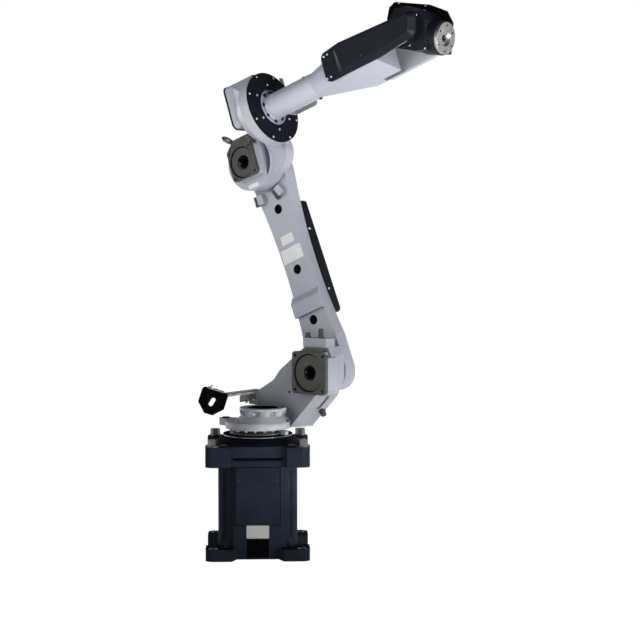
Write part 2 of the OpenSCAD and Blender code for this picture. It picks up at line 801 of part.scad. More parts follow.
module elbow_rear_cover() color(black) on_elbow() {
  overhang = 2;
  translate([elbow_rear - rear_cover_t, 0, elbow_offset + rear_h / 2 - rear_drop]) rotate([90, 0, 90])
    linear_extrude(rear_cover_t) rounded(rear_w + 2 * overhang, rear_h + 2 * overhang, rear_r + overhang);
}
// Sloped seat of the lifting eye in side view, from a height upwards
module eye_outline(low) {
  edge = 3;
  polygon([[-eye_seat + edge, low], [eye_seat - edge, low], [eye_seat - edge, eye_seat + eye_rise],
    [-eye_seat + eye_run, eye_seat + eye_rise], [-eye_seat + edge, eye_seat + edge]]);
}
module elbow_motor_plate() color(machined_grey) on_elbow() {
  corner_cut = 6;
  root = 5;
  motor_plate(elbow_plate_w, elbow_pcd, elbow_pilot_d, elbow_hole_d, corner_cut);
  slab(motor_face + pilot_depth, rim_near - run_gap) eye_outline(eye_seat + run_gap);
  slab(motor_face + pilot_depth + 1, box_near - 1) translate([0, eye_seat])
    square([elbow_plate_w / 2, root], center = true);
}
module elbow_coupling() color(machined_grey) on_elbow() {
  coupling();
}
module elbow_gear_unit() color(steel) on_elbow() {
  cross_pin(wall_far, gear_face, arm_head_r - 8);
}
module lifting_eye() color(steel) on_elbow() {
  eye_r = 17;
  wire_r = 5;
  stem_h = 24;
  slope = atan2(eye_rise - 3, eye_run - 3);
  translate([-eye_seat + (eye_run + 3) / 2, (box_near + rim_near) / 2, eye_seat + (eye_rise + 3) / 2])
    rotate([0, -slope, 0]) translate([0, 0, run_gap]) {
      cylinder(h = stem_h / 2, r = wire_r * 1.5);
      cylinder(h = stem_h, r = wire_r);
      translate([0, 0, stem_h + eye_r - wire_r / 2]) rotate([0, 90, 0]) rotate_extrude()
        translate([eye_r, 0]) circle(wire_r);
    }
}
module roll_cover() color(black) on_forearm() {
  difference() {
    bar(roll_front, roll_front + roll_cover_t, roll_r);
    bar(roll_front - 1, roll_front + roll_cover_t + 1, arm_flange_r + 2);
  }
}
module forearm_cable_plate() color(casting_grey) on_forearm() {
  sheet = 3;
  foot_x = roll_front + roll_cover_t;
  side_y = roll_r - 9;
  foot_w = 40;
  side_l = 100;
  side_h = 30;
  side_z = -7;
  corner = 12;
  tab = [sheet, 18, 37];
  translate([foot_x, side_y - foot_w, side_z - side_h / 2]) cube([sheet, foot_w, side_h]);
  slab(side_y - sheet, side_y) translate([foot_x + side_l / 2, side_z]) rounded(side_l, side_h, corner);
  difference() {
    translate([roll_front - sheet - 1, roll_r * 0.71, roll_r * 0.63]) cube(tab);
    bar(roll_front - 2 * sheet, roll_front + 1, roll_r + run_gap);
  }
}

// Forearm
module forearm_flange() color(casting_grey) on_forearm() {
  start = roll_front + run_gap;
  pocket_d = 10;
  pocket_t = 8;
  difference() {
    bar(start, start + arm_flange_t, arm_flange_r);
    translate([start + arm_flange_t - pocket_t, 0, 0]) rotate([0, 90, 0])
      hole_circle(2 * arm_flange_r - 2 * pocket_d, 12, 15) cylinder(h = pocket_t + 1, d = pocket_d);
  }
}
module forearm_tube() color(casting_grey) on_forearm() {
  bar(roll_front + run_gap + arm_flange_t, flare_x, tube_r);
}
// Cross-section of the fork's root: its underside falls away from the near arm to the far arm
module fork_section() {
  r = 18;
  for (c = [[-fork_outer + r, fork_top - r], [fork_outer - r, fork_top - r],
      [fork_outer - r, -fork_low + r], [-fork_outer + r, -fork_near_low + r]])
    translate(c) circle(r, $fn = 24);
}
module fork_arm(y0, y1, top, low, taper) {
  r = (top + low) / 2;
  slab(y0, y1) link2d([fork_x + r, top - r], r, [forearm_length, top - r], r - taper);
}
module forearm_fork() color(casting_grey) on_forearm() {
  skin = 1;
  reach = 200;
  hull() {
    translate([flare_x, 0, 0]) rotate([0, 90, 0]) cylinder(h = skin, r = tube_r, $fn = 48);
    translate([fork_x, 0, 0]) rotate([90, 0, 90]) linear_extrude(skin) fork_section();
  }
  difference() {
    hull() {
      translate([fork_x, 0, 0]) rotate([90, 0, 90]) linear_extrude(skin) fork_section();
      translate([crotch_x - skin, 0, 0]) rotate([90, 0, 90]) linear_extrude(skin) fork_section();
    }
    translate([forearm_length - tail_slot_l, fork_gap - tail_slot_w, -reach])
      cube([tail_slot_l, tail_slot_w, 2 * reach]);
  }
  fork_arm(-fork_outer + skin / 2, -fork_gap, fork_top - 2 * skin, fork_near_low - skin, 12);
  fork_arm(fork_gap, fork_outer - skin / 2, fork_top - 2 * skin, fork_low - skin, 4);
}
// Outline of the belt cover, drawn in by inset, from x0 onwards
module belt_outline(x0, inset) {
  r = fork_top * 0.38;
  for (c = [[x0, fork_top * 0.59], [x0, -r], [crotch_x - 2 * fork_top, fork_top * 0.72],
      [forearm_length - fork_top * 1.43, -fork_top * 0.36], [forearm_length + fork_top, fork_top * 0.48],
      [forearm_length + fork_top * 0.79, -fork_top * 0.14]])
    translate(c) circle(r - inset, $fn = 32);
}
module belt_cover() color(black) on_forearm() {
  tab_t = 7;
  rear = crotch_x - 1.5 * fork_root;
  tab_l = fork_top * 0.9;
  hull() slab(-fork_outer - tab_t, -fork_outer) belt_outline(rear, 0);
  hull() {
    slab(-fork_outer - tab_t - 1, -fork_outer - 1) belt_outline(rear + tab_l, 1);
    slab(-fork_outer - belt_cover_t, -fork_outer - belt_cover_t + 1)
      belt_outline(rear + tab_l + belt_bevel, belt_bevel);
  }
}
module fork_bearing_cap() color(black) on_forearm() {
  cap_r = 48;
  cap_t = 8;
  translate([forearm_length, 0, 0]) cross_pin(fork_outer - 0.5, fork_outer + cap_t, cap_r);
}

// Wrist
// Side view of the wrist's housing between the fork arms, in nose radii
module wrist_housing() {
  polygon(nose_r * [[-1.07, -0.74], [-1.19, 0.67], [-0.85, 1.48], [-0.11, 1.67], [0.93, 1.44],
    [1.44, 0.93], [1.59, -0.78], [0.89, -0.85]]);
}
// Side view of the wrist's cover plate, with its tail over the fork, in nose radii
module wrist_plate() {
  polygon(nose_r * [[-2.26, -0.63], [-2.78, 1.04], [-2.7, 1.7], [-2.33, 2.04], [0.19, 1.96],
    [1.44, 1.63], [1.93, 0.96], [2, -0.85], [1.04, -0.93]]);
}
module wrist_body() color(black) on_wrist() {
  neck_x = nose_r * 1.1;
  slab(-wrist_half_w, plate_y) wrist_housing();
  bar(neck_x, wrist_length - tool_t - run_gap, nose_r);
  cross_pin(-fork_gap + run_gap, fork_gap - run_gap, hub_r);
}
module wrist_side_cover() color(black) on_wrist() {
  slab(plate_y, plate_y + wrist_cover_t) difference() {
    wrist_plate();
    circle(hub_r + run_gap);
  }
}
module tool_flange() color(steel) on_wrist() {
  small_hole_d = 5;
  difference() {
    bar(wrist_length - tool_t, wrist_length, tool_d / 2);
    bar(wrist_length - tool_bore_l, wrist_length + 1, tool_bore_d / 2);
    bar(wrist_length - tool_t - 1, wrist_length, tool_centre_d / 2);
    translate([wrist_length - tool_t - 1, 0, 0]) rotate([0, 90, 0]) {
      hole_circle(tool_pcd, 6, 0) cylinder(h = tool_t + 2, d = tool_hole_d);
      hole_circle((tool_bore_d + tool_centre_d) / 2, 4, 45) cylinder(h = tool_t + 2, d = small_hole_d);
    }
  }
}

base_casting();
base_front_panel();
ear_bolts();
slew_ring();
slew_seal();
slew_stop();
slew_output();
carousel_casting();
shoulder_motor_plate();
shoulder_coupling();
shoulder_gear_unit();
shoulder_bumpers();
front_bumper();
cable_bracket();
cable_holder();
lower_arm_casting();
lower_arm_cover();
access_plugs();
elbow_bumpers();
elbow_casting();
elbow_rear_cover();
elbow_motor_plate();
elbow_coupling();
elbow_gear_unit();
lifting_eye();
roll_cover();
forearm_cable_plate();
forearm_flange();
forearm_tube();
forearm_fork();
belt_cover();
fork_bearing_cap();
wrist_body();
wrist_side_cover();
tool_flange();
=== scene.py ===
import json
import math

import bpy
import numpy as np
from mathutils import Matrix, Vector


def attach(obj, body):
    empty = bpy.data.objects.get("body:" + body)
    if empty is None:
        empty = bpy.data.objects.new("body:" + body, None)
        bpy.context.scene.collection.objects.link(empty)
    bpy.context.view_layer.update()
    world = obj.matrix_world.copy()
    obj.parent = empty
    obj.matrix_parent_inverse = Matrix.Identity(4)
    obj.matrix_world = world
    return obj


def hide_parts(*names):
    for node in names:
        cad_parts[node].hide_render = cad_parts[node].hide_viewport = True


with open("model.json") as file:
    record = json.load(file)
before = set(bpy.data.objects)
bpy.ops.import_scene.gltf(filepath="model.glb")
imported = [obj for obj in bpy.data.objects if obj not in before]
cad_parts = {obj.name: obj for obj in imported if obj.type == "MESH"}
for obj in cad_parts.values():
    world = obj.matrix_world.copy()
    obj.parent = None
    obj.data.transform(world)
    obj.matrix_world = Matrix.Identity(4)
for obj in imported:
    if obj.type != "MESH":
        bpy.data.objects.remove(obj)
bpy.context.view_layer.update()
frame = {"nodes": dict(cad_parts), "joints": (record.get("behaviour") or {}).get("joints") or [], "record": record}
nodes = frame["nodes"]
print("frame loaded:", len(nodes), "nodes")

# Places of the pieces, read from the joints: x along the piece, y to the robot's left, in millimetres
joints = {joint["name"]: joint for joint in frame["joints"]}


def unit(v):
    return v / np.linalg.norm(v)


def axesFrom(forward, side):
    return np.stack([forward, side, np.cross(forward, side)])


def jointAt(name):
    return np.array(joints[name]["pos_m"], float)


leftWay = np.array(joints["shoulder"]["axis"], float)
upWay = np.array((0.0, 0.0, 1.0))
rollWay = unit(np.array(joints["forearm_roll"]["axis"], float))
toolWay = unit(np.array(joints["tool_turn"]["axis"], float))
armWay = unit(jointAt("elbow") - jointAt("shoulder"))
carouselAxes = axesFrom(np.cross(leftWay, upWay), leftWay)
wristSpot = jointAt("wrist_bend")
# The point of the roll axis beside the elbow
rollFoot = wristSpot - rollWay * np.dot(wristSpot - jointAt("elbow"), rollWay)
places = {
    "base": (np.zeros(3), np.eye(3)),
    "carousel": (np.zeros(3), carouselAxes),
    "shoulder": (jointAt("shoulder"), carouselAxes),
    "lower_arm": (jointAt("shoulder"), axesFrom(np.cross(leftWay, armWay), leftWay)),
    "elbow": (jointAt("elbow"), axesFrom(rollWay, leftWay)),
    "forearm": (rollFoot, axesFrom(rollWay, leftWay)),
    "wrist": (wristSpot, axesFrom(toolWay, leftWay)),
}


def toWorld(place, points):
    origin, axes = places[place]
    return origin + 0.001 * np.asarray(points, float) @ axes


# First point where a line from outside meets a CAD node, in the place's millimetres,
# with the surface's direction there
def seatOn(node, place, start, way):
    origin, axes = places[place]
    foot = toWorld(place, start)
    heading = np.asarray(way, float) @ axes
    found, spot, normal, _ = nodes[node].ray_cast(Vector(foot), Vector(heading))
    if not found:
        print("no seat on", node, start)
        return None
    return (np.array(spot) - origin) @ axes.T * 1000.0, np.array(normal) @ axes.T


noiseRough, broadDetail, fineDetail = 0.55, 4.0, 2.0


class Wire:
    # A shader socket that can be reckoned with: sums and products of values add their Math nodes
    def __init__(self, tree, socket=None):
        self.tree, self.socket = tree, socket

    def add(self, kind, settings, values, out=0):
        made = self.tree.nodes.new("ShaderNode" + kind)
        for key, value in settings.items():
            setattr(made, key, value)
        for key, value in values.items():
            if isinstance(value, Wire):
                self.tree.links.new(value.socket, made.inputs[key])
            else:
                made.inputs[key].default_value = value
        return Wire(self.tree, made.outputs[out])

    def reckon(self, operation, a, b):
        return self.add("Math", {"operation": operation}, {0: a, 1: b})

    def __add__(self, other):
        return self.reckon("ADD", self, other)

    def __radd__(self, other):
        return self.reckon("ADD", other, self)

    def __sub__(self, other):
        return self.reckon("SUBTRACT", self, other)

    def __rsub__(self, other):
        return self.reckon("SUBTRACT", other, self)

    def __mul__(self, other):
        return self.reckon("MULTIPLY", self, other)

    def __rmul__(self, other):
        return self.reckon("MULTIPLY", other, self)

    def clamp(self, low, high):
        values = {"From Min": low, "From Max": high, "To Min": 0.0, "To Max": 1.0, "Value": self}
        return self.add("MapRange", {"interpolation_type": "SMOOTHSTEP"}, values)

    def noise(self, scale, detail):
        values = {"Vector": self, "Scale": scale, "Detail": detail, "Roughness": noiseRough}
        return self.add("TexNoise", {"noise_dimensions": "3D"}, values)

    def blend(self, first, second):
        values = {"Factor": self, 6: first, 7: second}  # 6, 7 and output 2 are the Mix node's colours
        return self.add("Mix", {"data_type": "RGBA", "blend_type": "MIX"}, values, 2)


def startFinish(name):
    made = bpy.data.materials.new(name)
    made.use_nodes = True
    made.node_tree.nodes.clear()
    start = Wire(made.node_tree)
    return made, start, start.add("TexCoord", {}, {}, "Object")


def closeTree(start, shader, kind="ShaderNodeOutputMaterial"):
    output = start.tree.nodes.new(kind)
    start.tree.links.new(shader.socket, output.inputs["Surface"])


# How far an edge stands out: one minus the agreement of the rounded normal with the true one
def edgeOf(start, radius):
    rounded = start.add("Bevel", {"samples": 4}, {"Radius": radius})
    true = start.add("NewGeometry", {}, {}, "Normal")
    agree = start.add("VectorMath", {"operation": "DOT_PRODUCT"}, {0: rounded, 1: true}, "Value")
    return rounded, 1.0 - agree


def shade(rgb, factor):
    return tuple(min(1.0, v * factor) for v in rgb) + (1.0,)


# A colour that wanders between a darker and a paler shade of itself
def mottled(broad, band, look):
    darker, paler = shade(look["colour"], 1 - look["mottle"]), shade(look["colour"], 1 + look["mottle"])
    return broad.clamp(*band).blend(darker, paler)


paintBands = {"edge": (0.02, 0.25), "patch": (0.35, 0.65), "tone": (0.3, 0.7), "dust": (0.62, 0.74),
              "hollow": (0.95, 0.45), "upward": (0.6, 0.95), "topStep": 0.002, "paintedTopDark": 0.1,
              "hollowShadeDark": 0.3, "roughWander": 0.12, "roughRub": 0.1, "peelDepth": 0.0004}


# Paint on a casting: broad tone, fine speckle, orange peel, painted shade in hollows and on upward faces, and
# edges rubbed paler
def paintFinish(name, look):
    made, start, coords = startFinish(name)
    bands = paintBands
    rounded, edge = edgeOf(start, look["edgeRadius"])
    broad = coords.noise(look["broad"], broadDetail)
    speck = coords.noise(look["speck"], fineDetail)
    rubbed = (edge.clamp(*bands["edge"]) * broad.clamp(*bands["patch"])) * look["rub"]
    tone = mottled(broad, bands["tone"], look)
    # Painted shade: faces turned upwards, and everything above a given height, darkened towards black
    if "paintedTopShade" in look:
        facing = start.add("SeparateXYZ", {}, {0: start.add("NewGeometry", {}, {}, "Normal")}, "Z")
        height = start.add("SeparateXYZ", {}, {0: coords}, "Z")
        above = height.clamp(look["topFrom"], look["topFrom"] + bands["topStep"])
        shaded = (facing.clamp(*bands["upward"]) + above).clamp(0.0, 1.0) * look["paintedTopShade"]
        tone = shaded.blend(tone, shade(look["colour"], bands["paintedTopDark"]))
    # Painted shade: hollows and corners of the piece itself darkened, from an occlusion test
    if "hollowShade" in look:
        settings = {"samples": 8, "only_local": True}
        openness = start.add("AmbientOcclusion", settings, {"Distance": look["hollowShadeReach"]}, "AO")
        hollowShade = openness.clamp(*bands["hollow"]) * look["hollowShade"]
        tone = hollowShade.blend(tone, shade(look["colour"], bands["hollowShadeDark"]))
    dust = speck.clamp(*bands["dust"]) * look["dust"]
    tone = dust.blend(tone, shade(look["dustColour"], 1.0))
    tone = rubbed.blend(tone, shade(look["rubColour"], 1.0))
    rough = look["rough"] + (broad - 0.5) * bands["roughWander"] + rubbed * bands["roughRub"]
    peel = start.add("Bump", {}, {"Strength": look["peel"], "Distance": bands["peelDepth"],
                                  "Height": coords.noise(look["grain"], fineDetail), "Normal": rounded})
    closeTree(start, start.add("BsdfPrincipled", {}, {
        "Base Color": tone, "Roughness": rough, "Normal": peel, "Metallic": 0.0,
        "Specular IOR Level": look["gloss"]}))
    return made


metalBands = {"edge": (0.02, 0.3), "tone": (0.35, 0.7), "roughFine": 0.25, "roughWander": 0.12,
              "markDepth": 0.0002}


# Bare metal: turned or milled marks, dull patches and bright edges
def metalFinish(name, look):
    made, start, coords = startFinish(name)
    bands = metalBands
    rounded, edge = edgeOf(start, look["edgeRadius"])
    broad = coords.noise(look["broad"], broadDetail)
    fine = coords.noise(look["fine"], fineDetail)
    bright = edge.clamp(*bands["edge"]) * look["rub"]
    tone = bright.blend(mottled(broad, bands["tone"], look), shade(look["rubColour"], 1.0))
    rough = look["rough"] + (fine - 0.5) * bands["roughFine"] + (broad - 0.5) * bands["roughWander"]
    marks = start.add("Bump", {}, {"Strength": look["marks"], "Distance": bands["markDepth"],
                                   "Height": fine, "Normal": rounded})
    closeTree(start, start.add("BsdfPrincipled", {}, {
        "Base Color": tone, "Roughness": rough, "Normal": marks, "Metallic": look["metal"]}))
    return made


# The cast paint darkens its hollows: painted shade
castLook = {
    "colour": (0.395, 0.412, 0.465), "mottle": 0.035, "rough": 0.42, "gloss": 0.45,
    "broad": 7.0, "speck": 260.0, "grain": 900.0, "peel": 0.12,
    "rub": 0.35, "rubColour": (0.52, 0.53, 0.58), "dust": 0.1, "dustColour": (0.3, 0.31, 0.35),
    "edgeRadius": 0.0025, "hollowShade": 0.8, "hollowShadeReach": 0.2}
# The elbow's paint: the cast paint with less painted shade in its hollows
elbowLook = {**castLook, "hollowShade": 0.22}
# The base paint darkens its upward faces and all above its neck's foot: painted shade
baseLook = {
    "colour": (0.0252, 0.0342, 0.0485), "mottle": 0.12, "rough": 0.6, "gloss": 0.012,
    "broad": 9.0, "speck": 240.0, "grain": 700.0, "peel": 0.2,
    "rub": 0.3, "rubColour": (0.06, 0.07, 0.085), "dust": 0.12, "dustColour": (0.05, 0.055, 0.065),
    "edgeRadius": 0.003, "paintedTopShade": 0.85, "topFrom": 0.386}
coverLook = {
    "colour": (0.0060, 0.0080, 0.0124), "mottle": 0.12, "rough": 0.42, "gloss": 0.12,
    "broad": 11.0, "speck": 300.0, "grain": 1300.0, "peel": 0.16,
    "rub": 0.25, "rubColour": (0.05, 0.055, 0.065), "dust": 0.08, "dustColour": (0.04, 0.043, 0.05),
    "edgeRadius": 0.002}
plainLook = {
    "colour": (0.0035, 0.0035, 0.0038), "mottle": 0.1, "rough": 0.65, "gloss": 0.008,
    "broad": 14.0, "speck": 300.0, "grain": 1300.0, "peel": 0.12,
    "rub": 0.2, "rubColour": (0.03, 0.03, 0.032), "dust": 0.05, "dustColour": (0.02, 0.02, 0.021),
    "edgeRadius": 0.0015}
# A darker, duller copy of the cover black for the covers that face the key lamp: painted shade
shadedCoverLook = {
    "colour": (0.0050, 0.0065, 0.0100), "mottle": 0.12, "rough": 0.5, "gloss": 0.07,
    "broad": 11.0, "speck": 300.0, "grain": 1300.0, "peel": 0.16,
    "rub": 0.25, "rubColour": (0.05, 0.055, 0.065), "dust": 0.06, "dustColour": (0.03, 0.033, 0.04),
    "edgeRadius": 0.002}
# The sheet paint darkens its hollows: painted shade
sheetLook = {
    "colour": (0.29, 0.30, 0.295), "mottle": 0.04, "rough": 0.45, "gloss": 0.45,
    "broad": 12.0, "speck": 300.0, "grain": 1100.0, "peel": 0.1,
    "rub": 0.3, "rubColour": (0.5, 0.5, 0.5), "dust": 0.1, "dustColour": (0.2, 0.2, 0.21),
    "edgeRadius": 0.0012, "hollowShade": 0.6, "hollowShadeReach": 0.08}
rubberLook = {
    "colour": (0.062, 0.062, 0.048), "mottle": 0.15, "rough": 0.78, "gloss": 0.3,
    "broad": 40.0, "speck": 500.0, "grain": 1500.0, "peel": 0.3,
    "rub": 0.3, "rubColour": (0.12, 0.12, 0.1), "dust": 0.2, "dustColour": (0.12, 0.12, 0.11),
    "edgeRadius": 0.0012}
labelLook = {
    "colour": (0.72, 0.72, 0.7), "mottle": 0.02, "rough": 0.4, "gloss": 0.5,
    "broad": 20.0, "speck": 300.0, "grain": 900.0, "peel": 0.04,
    "rub": 0.2, "rubColour": (0.6, 0.6, 0.58), "dust": 0.08, "dustColour": (0.5, 0.5, 0.5),
    "edgeRadius": 0.0005}
sealLook = {
    "colour": (0.03, 0.04, 0.22), "mottle": 0.1, "rough": 0.5, "gloss": 0.45,
    "broad": 40.0, "speck": 400.0, "grain": 1200.0, "peel": 0.05,
    "rub": 0.1, "rubColour": (0.1, 0.1, 0.3), "dust": 0.05, "dustColour": (0.1, 0.1, 0.2),
    "edgeRadius": 0.0005}
machinedLook = {
    "colour": (0.075, 0.074, 0.067), "mottle": 0.1, "rough": 0.48, "metal": 0.55,
    "broad": 25.0, "fine": 900.0, "marks": 0.12,
    "rub": 0.5, "rubColour": (0.22, 0.22, 0.21),
    "edgeRadius": 0.0012}
steelLook = {
    "colour": (0.56, 0.55, 0.53), "mottle": 0.08, "rough": 0.3, "metal": 1.0,
    "broad": 30.0, "fine": 1200.0, "marks": 0.1,
    "rub": 0.4, "rubColour": (0.75, 0.74, 0.72),
    "edgeRadius": 0.0008}
boltLook = {
    "colour": (0.13, 0.13, 0.127), "mottle": 0.15, "rough": 0.36, "metal": 0.95,
    "broad": 60.0, "fine": 1500.0, "marks": 0.1,
    "rub": 0.5, "rubColour": (0.5, 0.5, 0.48),
    "edgeRadius": 0.0008}
darkBoltLook = {
    "colour": (0.022, 0.022, 0.024), "mottle": 0.2, "rough": 0.42, "metal": 0.6,
    "broad": 60.0, "fine": 1500.0, "marks": 0.1,
    "rub": 0.4, "rubColour": (0.12, 0.12, 0.12),
    "edgeRadius": 0.0006}
eyeLook = {
    "colour": (0.22, 0.215, 0.205), "mottle": 0.15, "rough": 0.3, "metal": 0.95,
    "broad": 60.0, "fine": 1500.0, "marks": 0.1,
    "rub": 0.5, "rubColour": (0.3, 0.3, 0.28),
    "edgeRadius": 0.0008}
finishes = {
    "cast": paintFinish("castPaint", castLook),
    "elbow": paintFinish("elbowPaint", elbowLook),
    "base": paintFinish("basePaint", baseLook),
    "cover": paintFinish("coverBlack", coverLook),
    "plain": paintFinish("plainBlack", plainLook),
    "shadedCover": paintFinish("shadedCoverBlack", shadedCoverLook),
    "sheet": paintFinish("sheetPaint", sheetLook),
    "rubber": paintFinish("stopRubber", rubberLook),
    "label": paintFinish("blankLabel", labelLook),
    "seal": paintFinish("sealLip", sealLook),
    "machined": metalFinish("machinedPlate", machinedLook),
    "steel": metalFinish("turnedSteel", steelLook),
    "bolt": metalFinish("boltSteel", boltLook),
    "darkBolt": metalFinish("blackBolt", darkBoltLook),
    "eye": metalFinish("eyeSteel", eyeLook),
}
print("finishes:", len(finishes))

finishOfSlot = {"base_paint": "base", "cover_black": "cover", "cast_paint": "cast", "machined": "machined",
                "steel": "steel", "sheet_grey": "sheet", "rubber": "rubber"}
# wrist_side_cover takes the plain black as painted shade, for the housing's shadow on it
finishOfNode = {"ear_bolts": "bolt", "lifting_eye": "eye", "slew_seal": "plain", "slew_ring": "plain",
                "slew_output": "darkBolt", "cable_holder": "plain", "base_front_panel": "base",
                "shoulder_coupling": "plain", "elbow_coupling": "plain", "elbow_casting": "elbow",
                "access_plugs": "plain", "lower_arm_cover": "shadedCover", "roll_cover": "shadedCover",
                "wrist_side_cover": "plain"}
for part in frame["record"]["subparts"]:
    name = part["node"]
    painted = nodes[name].data
    painted.materials.clear()
    painted.materials.append(finishes[finishOfNode.get(name, finishOfSlot[part["material_slot"]])])
print("nodes painted")


# Closed solid from stacked rings: quads join each ring to the next, and the first and last rings are capped
def stacked(rings):
    steps, sides = rings.shape[:2]
    index = np.arange(steps * sides).reshape(steps, sides)
    beside = np.roll(index, -1, axis=1)
    quads = np.stack([index[:-1], beside[:-1], beside[1:], index[1:]], axis=-1).reshape(-1, 4).tolist()
    return rings.reshape(-1, 3), quads + [index[0, ::-1].tolist(), index[-1].tolist()]


# Closed ring from a grid: quads join each row to the next, and the last row to the first
def looped(rows):
    steps, sides = rows.shape[:2]
    index = np.arange(steps * sides).reshape(steps, sides)
    beside, above = np.roll(index, -1, axis=1), np.roll(index, -1, axis=0)
    corner = np.roll(beside, -1, axis=0)
    return rows.reshape(-1, 3), np.stack([index, beside, corner, above], axis=-1).reshape(-1, 4).tolist()


# Angles of a full turn, the last point left out
def fullTurn(sides):
    return np.linspace(0, 2 * np.pi, sides, endpoint=False)


# Surface of revolution (r cos a, r sin a, h); a row's third value bends its circle into a hexagon
def turned(profile, sides=24):
    radius, height, sixth = np.array(profile, float).T[:, :, None]
    angle = fullTurn(sides)[None]
    flats = math.cos(math.pi / 6) / np.cos(np.mod(angle, math.pi / 3) - math.pi / 6)
    spread = radius * (1 - sixth + sixth * flats)
    return stacked(np.stack([spread * np.cos(angle), spread * np.sin(angle), height + 0 * angle], axis=-1))


# Ring that closes on itself: a profile of (r, h) points carried round the axis
def hoop(profile, sides):
    radius, height = np.array(profile, float).T[:, :, None]
    angle = fullTurn(sides)[None]
    return looped(np.stack([radius * np.cos(angle), radius * np.sin(angle), height + 0 * angle], axis=-1))


# Flat ring between two radii, from one level to another, drawn in at its top by a bevel
def washer(inner, outer, low, high, sides, bevel=0.0):
    return hoop([(inner, low), (outer, low), (outer - bevel, high), (inner + bevel, high)], sides)


# Rim round a drum: its outer face is a ring, its lower edge is z = -thick - drop * max(0, cos(lobes * a)),
# and each lobe tapers in to the drum at its foot
def lobedRim(bits, spot):
    angle = fullTurn(bits["sides"])
    lobe = np.maximum(0.0, np.cos(bits["lobes"] * angle))
    low = -bits["thick"] - bits["drop"] * lobe
    outer = np.full(len(angle), bits["bossR"] + bits["out"])
    inner = np.full(len(angle), bits["bossR"] - bits["inside"])
    foot = bits["bossR"] + bits["footOut"] + (bits["out"] - bits["undercut"]) * (1 - lobe)
    bend = low + bits["undercut"] + bits["taper"] * lobe
    radii = np.stack([inner, foot, outer, outer, outer - bits["bevel"], inner])
    heights = np.stack([low, low, bend, 0 * low - bits["sink"] - bits["bevel"],
                        0 * low - bits["sink"], 0 * low - bits["sink"]])
    rows = np.stack([radii * np.cos(angle), radii * np.sin(angle), heights], axis=-1)
    return looped(rows + np.asarray(spot, float))


outlinePoints, leastCorner = 32, 0.2


# Rounded rectangle, drawn in at its top edge: corner centres plus a quarter circle at each
def platelet(width, height, thick, corner, bevel):
    angle = fullTurn(outlinePoints) + np.pi / outlinePoints
    signX, signY = np.sign(np.cos(angle)), np.sign(np.sin(angle))

    def ring(inset, level):
        r = max(corner - inset, leastCorner)
        x = signX * (width / 2 - inset - r) + r * np.cos(angle)
        y = signY * (height / 2 - inset - r) + r * np.sin(angle)
        return np.stack([x, y, 0 * angle + level], axis=-1)
    return stacked(np.stack([ring(0, 0), ring(0, thick - bevel), ring(bevel, thick)]))


# Turns a shape so that its z looks along a direction, with its x near a hint, and puts it at a spot
def setAt(shape, spot, way, hint=(1.0, 0.0, 0.0)):
    z = unit(np.asarray(way, float))
    x = np.asarray(hint, float) - z * np.dot(hint, z)
    if np.linalg.norm(x) < 1e-6:
        x = np.array((0.0, 1.0, 0.0)) - z * z[1]
    x = unit(x)
    return shape[0] @ np.stack([x, np.cross(z, x), z]) + np.asarray(spot, float), shape[1]


sharpFrom = math.radians(35)


# Joins shapes into one mesh in the world's metres, and hangs it on its body
def makePiece(name, body, place, shapes, finish):
    shapes = [shape for shape in shapes if shape is not None]
    starts = np.cumsum([0] + [len(shape[0]) for shape in shapes]).tolist()
    points = toWorld(place, np.concatenate([shape[0] for shape in shapes]))
    faces = [[corner + start for corner in face]
             for start, shape in zip(starts, shapes) for face in shape[1]]
    mesh = bpy.data.meshes.new(name)
    mesh.from_pydata(points.tolist(), [], faces)
    mesh.shade_smooth()
    mesh.set_sharp_from_angle(angle=sharpFrom)
    mesh.materials.append(finishes[finish])
    piece = bpy.data.objects.new(name, mesh)
    bpy.context.scene.collection.objects.link(piece)
    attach(piece, body)
    print("piece", name, len(shapes), "shapes", len(faces), "faces")
    return piece


# Screw heads on z = 0: rows of (share of radius, share of height, six-sidedness) up to the socket's floor
headFoot = -0.4  # the lowest ring lies this far inside the seat
socketRows = [(1.0, 0.85, 0), (0.88, 1.0, 0), (0.62, 1.0, 1), (0.6, 0.45, 1)]
buttonRows = [(1.0, 0.25, 0), (0.86, 0.72, 0), (0.6, 1.0, 0), (0.46, 1.0, 1), (0.44, 0.4, 1)]


# Head turned from its rows, scaled to a radius and a height
def headFrom(rows, r, h):
    return turned([(r, headFoot, 0)] + [(r * wide, h * high, sixth) for wide, high, sixth in rows])


def socketHead(r, h):
    return headFrom(socketRows, r, h)


def buttonHead(r, h):
    return headFrom(buttonRows, r, h)


inward, down, ahead, back = (0.0, 1.0, 0.0), (0.0, 0.0, -1.0), (1.0, 0.0, 0.0), (-1.0, 0.0, 0.0)
outward, across, upright = (0.0, -1.0, 0.0), (0.0, 1.0, 0.0), (0.0, 0.0, 1.0)
farFront, farAbove = -400.0, 700.0  # where the lines that look for a seat start
roundSides = 96  # sides of the large turned rings


# Shape set on a node where a line meets it, upright on the surface
def seated(shape, node, place, start, way, hint=ahead):
    seat = seatOn(node, place, start, way)
    return None if seat is None else setAt(shape, seat[0], seat[1], hint)


def onFront(shape, node, place, x, z):
    return seated(shape, node, place, (x, farFront, z), inward)


def onTop(shape, node, place, x, y):
    return seated(shape, node, place, (x, y, farAbove), down)


# Spots on a circle that faces along x
def ringSpots(x, radius, count, first):
    angle = np.radians(first + 360.0 / count * np.arange(count))
    return np.stack([np.full(count, x), radius * np.cos(angle), radius * np.sin(angle)], axis=-1)
